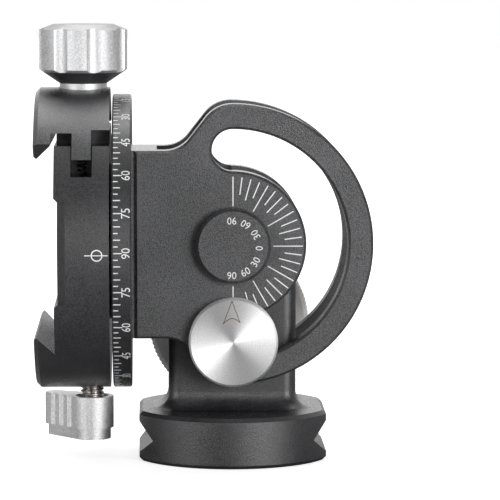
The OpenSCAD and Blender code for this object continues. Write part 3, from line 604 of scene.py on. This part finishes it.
def knurl(k):
    """Depth of the knurl at sample k: each tooth's second half is cut."""
    return KNURL_DEPTH if k % KNURL_SAMPLES >= KNURL_SAMPLES / 2 else 0


def knob_profile():
    """Lock knob's closed profile, from its hub's face to its cap's seat."""
    radius = (knob_high.x - knob_low.x) / 2
    hub_y = knob_low.y
    back_y = knob_high.y
    front_y = back_y - KNOB_GRIP_LENGTH
    seat_y = back_y - KNOB_CAP_DEPTH
    c = KNOB_CHAMFER
    return [
        (KNOB_BORE_R, hub_y, 0),
        (KNOB_HUB_R - c / 2, hub_y, 0),
        (KNOB_HUB_R, hub_y + c / 2, 0),
        (KNOB_HUB_R, front_y - KNOB_HUB_FILLET, 0),
        (KNOB_HUB_R + KNOB_HUB_FILLET, front_y, 0),
        (radius - c, front_y, 0),
        (radius - c * EDGE_IN, front_y + c * EDGE_ALONG, EDGE_KNURL),
        (radius, front_y + c, 1),
        (radius, back_y - c, 1),
        (radius - c * EDGE_IN, back_y - c * EDGE_ALONG, EDGE_KNURL),
        (radius - c, back_y, 0),
        (KNOB_CAP_R, back_y, 0),
        (KNOB_CAP_R, seat_y, 0),
        (KNOB_BORE_R, seat_y, 0),
    ]


def knurled_knob():
    """Lock knob with its straight knurl."""
    verts, faces = revolve(knob_profile(), on_lock_axis, KNURL_TEETH * KNURL_SAMPLES, knurl)
    p = piece("knurled_lock_knob", verts, faces, "lock_knob", MATERIALS["silver_knurled"])
    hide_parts("lock_knob")


def on_stud_axis(u, v, h):
    return (STUD.x + u, STUD.y + v, h)


def thread(r_root, r_crest, pitch, low, high, place):
    """Helical thread between two heights, its crest and root flat and both ends closed."""
    verts = []
    steps = int((high - low) / pitch * THREAD_ROWS)
    for i in range(steps + 1):
        h = low + (high - low) * i / steps
        for k in range(THREAD_SIDES):
            a = math.tau * k / THREAD_SIDES
            phase = ((h / pitch) - k / THREAD_SIDES) % 1.0
            rise = min(1.0, max(0.0, THREAD_FLANK * abs(2 * phase - 1) - THREAD_ROOT))
            r = r_root + (r_crest - r_root) * rise
            verts.append(place(r * math.cos(a), r * math.sin(a), h))
    faces = skin_faces(steps + 1, THREAD_SIDES, False)
    faces.append(tuple(range(THREAD_SIDES - 1, -1, -1)))
    faces.append(tuple(range(len(verts) - THREAD_SIDES, len(verts))))
    return verts, faces


def threaded_stud():
    """Lever's stud with its thread."""
    r = (stud_high.x - stud_low.x) / 2
    verts, faces = thread(r - THREAD_DEPTH, r, THREAD_PITCH, stud_low.z, stud_high.z, on_stud_axis)
    p = piece("threaded_stud", verts, faces, "pan_lever", MATERIALS["browned_steel"])
    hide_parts("lever_stud")


def camera():
    e = math.radians(CAMERA_ELEVATION)
    a = math.radians(CAMERA_AZIMUTH)
    forward = Vector((math.sin(a) * math.cos(e), math.cos(a) * math.cos(e), -math.sin(e)))
    data = bpy.data.cameras.new("camera")
    data.sensor_width = SENSOR_MM
    data.lens = FOCAL_PX / IMAGE_PX * SENSOR_MM
    data.clip_start = CLIP_START
    data.clip_end = CLIP_END
    cam = bpy.data.objects.new("camera", data)
    cam.location = CAMERA_TARGET - CAMERA_DISTANCE * forward
    cam.rotation_euler = forward.to_track_quat("-Z", "Y").to_euler()
    bpy.context.scene.collection.objects.link(cam)
    bpy.context.scene.camera = cam


def around(azimuth, elevation, distance):
    """Place of a light as seen from the object: azimuth to the right of the camera's side, in degrees."""
    a = math.radians(azimuth)
    e = math.radians(elevation)
    return Vector((math.sin(a) * math.cos(e), -math.cos(a) * math.cos(e), math.sin(e))) * distance + MIDDLE


def lamp(name, azimuth, elevation, distance, width, height, power):
    """Rectangular lamp that points at the object's middle."""
    data = bpy.data.lights.new(name, "AREA")
    data.shape = "RECTANGLE"
    data.size = width
    data.size_y = height
    data.energy = power
    place = around(azimuth, elevation, distance)
    light = bpy.data.objects.new(name, data)
    light.location = place
    light.rotation_euler = (MIDDLE - place).to_track_quat("-Z", "Y").to_euler()
    bpy.context.scene.collection.objects.link(light)


def studio():
    """Lamps, and a world that is white to the camera and brighter behind the object than in front."""
    for values in LAMPS:
        lamp(*values)
    world = bpy.data.worlds.new("studio")
    bpy.context.scene.world = world
    world.use_nodes = True
    t = world.node_tree
    t.nodes.clear()
    coords = node(t, "ShaderNodeTexCoord").outputs["Generated"]
    split = node(t, "ShaderNodeSeparateXYZ")
    t.links.new(coords, split.inputs[0])
    behind = spread(t, split.outputs["Y"], WORLD_FADE_FROM, WORLD_FADE_TO, WORLD_FRONT, WORLD_BEHIND)
    shade = node(t, "ShaderNodeBackground")
    t.links.new(behind, shade.inputs["Strength"])
    shade.inputs["Color"].default_value = (1, 1, 1, 1)
    clear = node(t, "ShaderNodeBackground")
    clear.inputs["Color"].default_value = (1, 1, 1, 1)
    surface = camera_only(t, shade.outputs[0], clear.outputs[0])
    t.links.new(surface, node(t, "ShaderNodeOutputWorld").inputs["Surface"])


def floor_material():
    """White to the camera apart from the object's shadow, and dim to all other rays."""
    m = bpy.data.materials.new("floor")
    m.use_nodes = True
    t = m.node_tree
    t.nodes.clear()
    coords = node(t, "ShaderNodeTexCoord").outputs["Object"]
    tone = noise(t, coords, FLOOR_SMUDGE_SCALE)
    seen = node(t, "ShaderNodeBsdfDiffuse")
    t.links.new(ramp(t, tone, [(NOISE_LOW, grey(0.93)), (NOISE_HIGH, grey(0.95))]), seen.inputs["Color"])
    glow = node(t, "ShaderNodeEmission")
    away = node(t, "ShaderNodeVectorMath", operation="LENGTH")
    t.links.new(coords, away.inputs[0])
    distance = away.outputs["Value"]
    strength = spread(t, distance, FLOOR_FADE_FROM, FLOOR_FADE_TO, FLOOR_GLOW_NEAR, FLOOR_GLOW_FAR)
    t.links.new(strength, glow.inputs["Strength"])
    lit = node(t, "ShaderNodeAddShader")
    t.links.new(seen.outputs[0], lit.inputs[0])
    t.links.new(glow.outputs[0], lit.inputs[1])
    dim = node(t, "ShaderNodeBsdfDiffuse")
    dim.inputs["Color"].default_value = (*grey(FLOOR_BOUNCE), 1)
    surface = camera_only(t, dim.outputs[0], lit.outputs[0])
    t.links.new(surface, node(t, "ShaderNodeOutputMaterial").inputs["Surface"])
    return m


def floor():
    """Floor just under the foot."""
    row = FLOOR_CELLS + 1
    verts = [(FLOOR_HALF * (i - 1), FLOOR_HALF * (j - 1), FLOOR_Z) for j in range(row) for i in range(row)]
    faces = [(j * row + i, j * row + i + 1, (j + 1) * row + i + 1, (j + 1) * row + i)
             for j in range(FLOOR_CELLS) for i in range(FLOOR_CELLS)]
    mesh = bpy.data.meshes.new("floor")
    mesh.from_pydata(verts, [], faces)
    mesh.materials.append(floor_material())
    obj = bpy.data.objects.new("floor", mesh)
    bpy.context.scene.collection.objects.link(obj)


dress_solids()
tilt_scale()
pan_scale()
index_mark()
pointer()
knurled_knob()
threaded_stud()
camera()
studio()
floor()
bpy.context.scene.view_settings.view_transform = "Standard"
